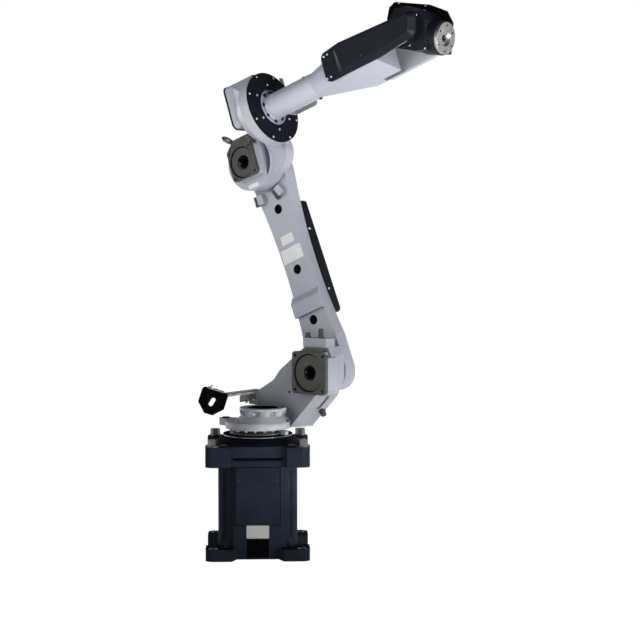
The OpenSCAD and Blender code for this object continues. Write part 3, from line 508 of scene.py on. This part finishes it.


# Base: panel screws, bare plates, a black strip painting the shade in the slot, black strips painting the shadow
# in the panel's seam, floor-hole rings, bolt pads
baseBits = {
    "panelScrews": [(-66, 271), (65, 271), (-66, 164), (65, 164)], "screw": (3.6, 2.4),
    "plates": [("palePlate", "label", (0, 94, 76, 44)), ("blackPlate", "plain", (0, 38, 74, 62)),
               ("slotShadeStrip", "plain", (0, 343.5, 172, 10))], "plateEdge": (1.0, 3.0, 0.3),
    "gapW": 2.2, "gapEdge": (0.4, 0.4, 0.1),
    "footAt": 150, "footSeat": (13, 120), "ring": (9.6, 16.6, 0.0, 0.7, 40), "ringBevel": 0.3,
    "earPad": (115, -112, 22, 14), "padEdge": (0.5, 4.0, 0.2)}
panelHead = buttonHead(*baseBits["screw"])
makePiece("panelScrews", "base", "base",
          [onFront(panelHead, "base_front_panel", "base", x, z) for x, z in baseBits["panelScrews"]],
          "darkBolt")
for plateName, finish, (x, z, wide, tall) in baseBits["plates"]:
    plate = platelet(wide, tall, *baseBits["plateEdge"])
    makePiece(plateName, "base", "base", [onFront(plate, "base_casting", "base", x, z)],
              finish)

# Four thin black strips on the casting, at the edges of the panel's own box: painted shadow in the seam round the
# panel
panelCorners = np.array([corner[:] for corner in nodes["base_front_panel"].bound_box]) * 1000.0
panelLow, panelHigh = panelCorners.min(axis=0), panelCorners.max(axis=0)
panelMid, panelSize = (panelLow + panelHigh) / 2, panelHigh - panelLow
gapW = baseBits["gapW"]
uprightGap = platelet(gapW, panelSize[2] + 2 * gapW, *baseBits["gapEdge"])
levelGap = platelet(panelSize[0], gapW, *baseBits["gapEdge"])
gapShapes = []
for side in (-1, 1):
    edgeX = panelMid[0] + side * (panelSize[0] + gapW) / 2
    edgeZ = panelMid[2] + side * (panelSize[2] + gapW) / 2
    gapShapes.append(onFront(uprightGap, "base_casting", "base", edgeX, panelMid[2]))
    gapShapes.append(onFront(levelGap, "base_casting", "base", panelMid[0], edgeZ))
makePiece("panelSeamShade", "base", "base", gapShapes, "plain")

holeRing = washer(*baseBits["ring"], baseBits["ringBevel"])
footAt, (seatShift, seatFrom) = baseBits["footAt"], baseBits["footSeat"]
ringShapes = []
for sx in (-1, 1):
    for sy in (-1, 1):
        seat = seatOn("base_casting", "base", (sx * footAt + seatShift, sy * footAt, seatFrom), down)
        ringShapes.append(setAt(holeRing, (sx * footAt, sy * footAt, seat[0][2]), upWay))
makePiece("footRings", "base", "base", ringShapes, "steel")
x, y, wide, tall = baseBits["earPad"]
pad = platelet(wide, tall, *baseBits["padEdge"])
makePiece("earPads", "base", "base", [onTop(pad, "base_casting", "base", sx * x, y) for sx in (-1, 1)],
          "sheet")

# Slewing joint: bolt heads under the carousel's plate, a turned shoulder on the output, the ring's bright rim
slewBits = {
    "boltR": 91.5, "count": 18, "first": 5, "head": (4.8, 8.0),
    "plateFrom": 415, "ringFrom": (-112, 0, 425),
    "shoulder": [(86.2, 413.5), (94.5, 413.5), (95.5, 414.5), (95.5, 418), (94, 419.5), (86.2, 419.5)],
    "rim": [(116, -2.2), (119.3, -2.2), (119.5, -2.0), (119.5, 0.2), (119.2, 0.5), (116, 0.5)]}
plateStart = (slewBits["boltR"], 0, slewBits["plateFrom"])
plateFoot = seatOn("carousel_casting", "carousel", plateStart, upWay)[0][2]
slewRing = ringSpots(0, slewBits["boltR"], slewBits["count"], slewBits["first"])
slewSpots = slewRing[:, [1, 2, 0]] + np.array((0, 0, plateFoot))
makePiece("slewBolts", "carousel", "carousel",
          [setAt(socketHead(*slewBits["head"]), spot, down) for spot in slewSpots], "steel")
makePiece("slewShoulder", "carousel", "carousel", [hoop(slewBits["shoulder"], roundSides)], "bolt")
ringTop = seatOn("slew_ring", "base", slewBits["ringFrom"], down)[0][2]
slewRim = setAt(hoop(slewBits["rim"], roundSides), (0, 0, ringTop), upWay)
makePiece("slewRim", "base", "base", [slewRim], "eye")

# Carousel: plate screws, a plugged hole in the wall, a black sleeve and floor painting the shade in the motor
# bore, the lug's plug
carouselBits = {
    "plateScrews": [(-20, -81), (113, 24)], "screw": (6.2, 1.4),
    "wallPlug": (86, 554), "plugHead": (5.0, 1.6), "bore": (24, 55), "rimFrom": 8,
    "shadeSleeve": (0.6, 0.1), "shadeSleeveDrop": 1.5, "shadeSleeveFloor": 0.5, "shadeSleeveSides": 72,
    "lugPlug": (-147, -8), "plugShift": 9, "plugRows": [(14.0, -0.4, 0), (14.0, 2.8, 0), (13.2, 3.5, 0)]}
screwHead = buttonHead(*carouselBits["screw"])
makePiece("plateScrews", "carousel", "carousel",
          [onTop(screwHead, "carousel_casting", "carousel", x, y) for x, y in carouselBits["plateScrews"]],
          "darkBolt")
plugHead = buttonHead(*carouselBits["plugHead"])
makePiece("wallPlug", "carousel", "carousel",
          [onFront(plugHead, "carousel_casting", "carousel", *carouselBits["wallPlug"])],
          "darkBolt")
boreX, boreR = carouselBits["bore"]
rimX = boreX - boreR - carouselBits["rimFrom"]
boreTop = seatOn("carousel_casting", "carousel", (rimX, 0, farAbove), down)[0][2]
boreFloor = seatOn("carousel_casting", "carousel", (boreX, 0, farAbove), down)[0][2]
# Black sleeve and floor disc in the bore: painted shade
thick, gap = carouselBits["shadeSleeve"]
sides = carouselBits["shadeSleeveSides"]
boreWall = washer(boreR - thick, boreR - gap, boreFloor, boreTop - carouselBits["shadeSleeveDrop"], sides)
discR = boreR - thick - gap
boreDisc = turned([(discR, boreFloor, 0), (discR, boreFloor + carouselBits["shadeSleeveFloor"], 0)], sides)
boreShift = np.array((boreX, 0.0, 0.0))
makePiece("boreShadeSleeve", "carousel", "carousel",
          [(shape[0] + boreShift, shape[1]) for shape in (boreWall, boreDisc)], "plain")
x, y = carouselBits["lugPlug"]
lugDisc = turned(carouselBits["plugRows"])
makePiece("lugPlug", "carousel", "carousel",
          [onTop(lugDisc, "carousel_casting", "carousel", x + carouselBits["plugShift"], y)],
          "plain")

# Motor boss: a rim whose lower edge hangs in lobes over the bolts
rimBits = {"bossR": 75.0, "out": 5.5, "thick": 8.0, "drop": 21.0, "lobes": 8, "inside": 5.0, "sides": 192,
           "footOut": 0.3, "undercut": 1.5, "taper": 10.0, "bevel": 0.8, "sink": 0.4}
makePiece("bossRim", "carousel", "carousel", [lobedRim(rimBits, (boreX, 0, boreTop))], "cast")

# Cable bracket: a folded lip under its edge, a leg down the wall, and its fasteners
bracketBits = {
    "seatAt": (-75, 40), "sheet": 4, "lip": (-61, -26, 184, 11, 3), "lipDrop": 1.6, "lipEdge": (1.2, 0.4),
    "leg": (-72, 68.2, 40, 46, 8), "legEdge": (4.0, 0.6), "head": (6.0, 5.0),
    "legHeads": [(-85, -34), (-70, -31)], "tabHead": (-88, 43, -36), "holderBolt": (-76, -150),
    "hexRows": [(7.5, -0.4, 0), (7.5, 1.6, 0), (6.6, 1.7, 1),
                (6.6, 8.2, 1), (5.6, 8.8, 0.3), (3.0, 8.9, 0)]}
sheetTop = seatOn("cable_bracket", "carousel", (*bracketBits["seatAt"], farAbove), down)[0][2]
ledge = sheetTop - bracketBits["sheet"]
x, y, wide, tall, thick = bracketBits["lip"]
lipShape = platelet(wide, tall, thick, *bracketBits["lipEdge"])
lipShape = setAt(lipShape, (x, y, ledge - bracketBits["lipDrop"]), ahead, across)
x, y, wide, tall, thick = bracketBits["leg"]
legShape = setAt(platelet(wide, tall, thick, *bracketBits["legEdge"]), (x, y, ledge - tall / 2), outward)
makePiece("bracketFolds", "carousel", "carousel", [lipShape, legShape], "sheet")
roundHead = buttonHead(*bracketBits["head"])
headShapes = [setAt(roundHead, (hx, y - thick, ledge + hz), outward) for hx, hz in bracketBits["legHeads"]]
hx, hy, hz = bracketBits["tabHead"]
headShapes.append(setAt(roundHead, (hx, hy, ledge + hz), ahead, across))
hexBolt = turned(bracketBits["hexRows"])
headShapes.append(onTop(hexBolt, "cable_bracket", "carousel", *bracketBits["holderBolt"]))
makePiece("bracketBolts", "carousel", "carousel", headShapes, "steel")

# Black rings at the relief groove in the corner of both motor pilots: painted shadow in that corner
pilotBits = {"shoulder": ("shoulder_motor_plate", "carousel", 65.0),
             "elbow": ("elbow_motor_plate", "elbow", 55.0)}
ringBits = {"wide": 4.2, "gap": 0.1, "low": -0.2, "high": 0.3, "seatIn": 6}
for place, (node, body, radius) in pilotBits.items():
    face = seatOn(node, place, (radius - ringBits["seatIn"], farFront, 0), inward)[0][1]
    # A black ring at the relief groove: painted shadow in the pilot's corner
    groove = washer(radius - ringBits["wide"], radius - ringBits["gap"],
                    ringBits["low"], ringBits["high"], roundSides)
    makePiece(place + "PilotShadeRing", body, place, [setAt(groove, (0, face, 0), outward)], "plain")

# Lower arm: bare label plates and the cable cover's fasteners
armBits = {"labels": [(-2, 488, 56, 32), (-2, 432, 92, 50)], "labelEdge": (0.6, 2.0, 0.2),
           "fasteners": [503, 278], "head": (5.0, 3.0), "coverFrom": (300, 207)}
labelShapes = [onFront(platelet(wide, tall, *armBits["labelEdge"]), "lower_arm_casting", "lower_arm", x, z)
               for x, z, wide, tall in armBits["labels"]]
makePiece("armLabels", "lower_arm", "lower_arm", labelShapes, "label")
fastener = buttonHead(*armBits["head"])
makePiece("coverFasteners", "lower_arm", "lower_arm",
          [seated(fastener, "lower_arm_cover", "lower_arm", (*armBits["coverFrom"], z), back, across)
           for z in armBits["fasteners"]], "steel")

# Elbow: two rings of screws in the roll cover, a bare plate under the motor, the seal's blue lip
elbowBits = {
    "screwRings": [(116.0, 8, 24.0), (80.0, 6, 31.0)], "head": (4.0, 2.4),
    "coverFrom": 400, "rollUp": 117.0,
    "plate": (-9, -82, 46, 14), "plateEdge": (0.6, 2.0, 0.2), "lipSeat": 90,
    "lip": [(61.4, 0), (63.6, 0), (63.2, 0.9), (61.8, 0.9)]}
coverHead = buttonHead(*elbowBits["head"])
coverSpots = np.concatenate([ringSpots(elbowBits["coverFrom"], *ring) for ring in elbowBits["screwRings"]])
coverSpots = coverSpots + np.array((0, 0, elbowBits["rollUp"]))
makePiece("rollCoverScrews", "elbow", "elbow",
          [seated(coverHead, "roll_cover", "elbow", spot, back, upright) for spot in coverSpots],
          "steel")
x, z, wide, tall = elbowBits["plate"]
motorLabel = platelet(wide, tall, *elbowBits["plateEdge"])
makePiece("elbowPlate", "elbow", "elbow", [onFront(motorLabel, "elbow_casting", "elbow", x, z)],
          "label")
coverFace = seatOn("roll_cover", "forearm", (elbowBits["coverFrom"], elbowBits["lipSeat"], 0), back)[0][0]
lipRing = setAt(hoop(elbowBits["lip"], roundSides), (coverFace, 0, 0), ahead, upright)
makePiece("sealLip", "elbow", "forearm", [lipRing], "seal")

# Forearm: its flange with a grooved face and dark bolts, plugs on the tube, the belt cover's screws
forearmBits = {
    "bolts": (51.3, 8, 38.0), "boltHead": (6.5, 4.8),
    "flangeR": 61.0, "rimR": 58.0, "neckR": 46.8, "tubeR": 43.5, "standOut": 1.5, "groove": 3.2,
    "chamfer": 0.8, "rimEdge": 0.5, "neckDrop": 0.4, "collar": (0.2, 3.2, 3.6),
    "backSeat": 57, "tubeSeat": 10,
    "tubePlugs": [(366, 4, 1), (412, 4, -1)], "plugHead": (6.0, 5.0), "plugFrom": 300,
    "coverScrews": [(534, 43), (549, 45), (525, -29), (541, -29)], "coverHead": (3.8, 2.2),
    "coverPlug": (687, -15), "coverPlugHead": (5.0, 1.2)}
flangeBack = seatOn("forearm_flange", "forearm", (0, forearmBits["backSeat"], 0), ahead)[0][0]
tubeFoot = seatOn("forearm_tube", "forearm", (0, forearmBits["tubeSeat"], 0), ahead)[0][0]
face = coverFace + forearmBits["standOut"]
grooveFloor = face - forearmBits["groove"]
outR, rimR, neckR, tubeR = (forearmBits[key] for key in ("flangeR", "rimR", "neckR", "tubeR"))
chamfer, rimEdge, neckDrop = (forearmBits[key] for key in ("chamfer", "rimEdge", "neckDrop"))
collarOut, collarFoot, collarTop = forearmBits["collar"]
flangeRows = [(outR, flangeBack), (outR, face - chamfer), (outR - chamfer, face),
              (rimR + rimEdge, face), (rimR, face - rimEdge), (rimR, grooveFloor),
              (neckR, grooveFloor), (neckR, face - neckDrop), (tubeR + collarOut, face + collarFoot),
              (tubeR, face + collarTop), (tubeR, tubeFoot)]
flangeShape = setAt(turned([(r, h, 0) for r, h in flangeRows], roundSides), (0, 0, 0), ahead, upright)
flangePiece = makePiece("groovedFlange", "forearm", "forearm", [flangeShape], "cast")
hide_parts("forearm_flange")
flangeHead = socketHead(*forearmBits["boltHead"])
boltSpots = ringSpots(grooveFloor, *forearmBits["bolts"])
makePiece("flangeBolts", "forearm", "forearm",
          [setAt(flangeHead, spot, ahead, upright) for spot in boltSpots], "darkBolt")
tubeHead, plugFrom = socketHead(*forearmBits["plugHead"]), forearmBits["plugFrom"]
makePiece("tubePlugs", "forearm", "forearm",
          [seated(tubeHead, "forearm_tube", "forearm", (x, y, plugFrom * way), (0, 0, -way))
           for x, y, way in forearmBits["tubePlugs"]], "darkBolt")
beltHead = buttonHead(*forearmBits["coverHead"])
makePiece("beltScrews", "forearm", "forearm",
          [onFront(beltHead, "belt_cover", "forearm", x, z) for x, z in forearmBits["coverScrews"]],
          "steel")
beltPlug = buttonHead(*forearmBits["coverPlugHead"])
makePiece("beltPlug", "forearm", "forearm",
          [onFront(beltPlug, "belt_cover", "forearm", *forearmBits["coverPlug"])], "darkBolt")

# Wrist: small bright screws on the housing and on the cover plate's rim
wristBits = {"near": [(26, -31), (40, 64), (85, -37)], "plate": [(-109, 107), (-4, 101)], "top": (17, 20),
             "head": (3.4, 2.0)}
wristHead = buttonHead(*wristBits["head"])
wristShapes = [onFront(wristHead, "wrist_body", "wrist", x, z) for x, z in wristBits["near"]]
wristShapes += [onFront(wristHead, "wrist_side_cover", "wrist", x, z) for x, z in wristBits["plate"]]
wristShapes.append(onTop(wristHead, "wrist_body", "wrist", *wristBits["top"]))
makePiece("wristScrews", "wrist", "wrist", wristShapes, "steel")

# Floor: white to the eye and in reflections, plain pale paint to the light; the paint takes the shadow
floorBits = {"half": 30.0, "pale": 0.8, "glow": 1.25, "share": 0.8}
scene = bpy.context.scene
half = floorBits["half"]
floorMesh = bpy.data.meshes.new("studioFloor")
floorCorners = [(-half, -half, 0), (half, -half, 0), (half, half, 0), (-half, half, 0)]
floorMesh.from_pydata(floorCorners, [], [[0, 1, 2, 3]])
floor = bpy.data.objects.new("studioFloor", floorMesh)
scene.collection.objects.link(floor)


def seenDirect(start):
    camera, glossy, through = (start.add("LightPath", {}, {}, name)
                               for name in ("Is Camera Ray", "Is Glossy Ray", "Is Transmission Ray"))
    return (camera + glossy + through).clamp(0.0, 1.0)


floorLook, start, coords = startFinish("floorWhite")
pale = start.add("BsdfDiffuse", {}, {"Color": shade((floorBits["pale"],) * 3, 1.0)})
glow = start.add("Emission", {}, {"Color": (1.0, 1.0, 1.0, 1.0), "Strength": floorBits["glow"]})
closeTree(start, start.add("MixShader", {}, {0: seenDirect(start) * floorBits["share"], 1: pale, 2: glow}))
floorMesh.materials.append(floorLook)

# World: soft light from all sides, weaker from overhead, and white to the camera
worldBits = {"tint": (0.93, 0.95, 1.0, 1.0), "around": 0.39, "overhead": 0.06, "rise": (0.0, 0.7)}
world = bpy.data.worlds.new("studioWorld")
scene.world = world
world.use_nodes = True
world.node_tree.nodes.clear()
start = Wire(world.node_tree)
upwards = start.add("SeparateXYZ", {}, {0: start.add("TexCoord", {}, {}, "Generated")}, "Z")
around = start.add("Background", {}, {"Color": worldBits["tint"], "Strength": worldBits["around"]})
overhead = start.add("Background", {}, {"Color": worldBits["tint"], "Strength": worldBits["overhead"]})
soft = start.add("MixShader", {}, {0: upwards.clamp(*worldBits["rise"]), 1: around, 2: overhead})
white = start.add("Background", {}, {"Color": (1.0, 1.0, 1.0, 1.0), "Strength": 1.0})
direct = start.add("LightPath", {}, {}, "Is Camera Ray")
closeTree(start, start.add("MixShader", {}, {0: direct, 1: soft, 2: white}), "ShaderNodeOutputWorld")

# Lamps: places, aims and sizes in metres, power in watts, spread in degrees
lamps = {
    "keyLamp": {"at": (3.4, -3.2, 1.2), "aim": (0.1, 0.0, 1.2),
                "size": 2.2, "power": 28.5, "spread": 120},
    "fillLamp": {"at": (-3.2, -3.6, 2.0), "aim": (0.0, 0.0, 1.85),
                 "size": 1.8, "power": 7.4, "spread": 36},
    "lowLamp": {"at": (1.2, -2.6, 0.1), "aim": (0.4, 0.0, 1.75),
                "size": 1.4, "power": 21.5, "spread": 56},
    "backLeftLamp": {"at": (-3.3, 3.2, 1.2), "aim": (0.0, 0.0, 1.1),
                     "size": 1.8, "power": 27.0, "spread": 120},
    "backRightLamp": {"at": (3.3, 3.2, 1.2), "aim": (0.0, 0.0, 1.1),
                      "size": 1.8, "power": 27.0, "spread": 120},
    "edgeLamp": {"at": (2.5, -1.4, 0.05), "aim": (0.22, -0.05, 0.33),
                 "size": 0.4, "power": 0.85, "spread": 16},
}
for name, lamp in lamps.items():
    light = bpy.data.lights.new(name, "AREA")
    light.shape, light.size, light.energy = "DISK", lamp["size"], lamp["power"]
    light.spread = math.radians(lamp["spread"])
    holder = bpy.data.objects.new(name, light)
    holder.location = lamp["at"]
    holder.rotation_euler = (Vector(lamp["aim"]) - Vector(lamp["at"])).to_track_quat("-Z", "Y").to_euler()
    scene.collection.objects.link(holder)

# Camera: its place in metres, its angles in degrees, its lens in millimetres
view = {"at": (0.010, -5.490, 1.130), "pitch": 90 - 3.42, "turn": -2.14, "lens": 90.0, "sensor": 36.0}
camera = bpy.data.cameras.new("photoCamera")
camera.lens, camera.sensor_width, camera.sensor_fit = view["lens"], view["sensor"], "HORIZONTAL"
eye = bpy.data.objects.new("photoCamera", camera)
eye.location = view["at"]
eye.rotation_euler = (math.radians(view["pitch"]), 0.0, math.radians(view["turn"]))
scene.collection.objects.link(eye)
scene.camera = eye
scene.view_settings.view_transform = "Standard"
print("stage set")
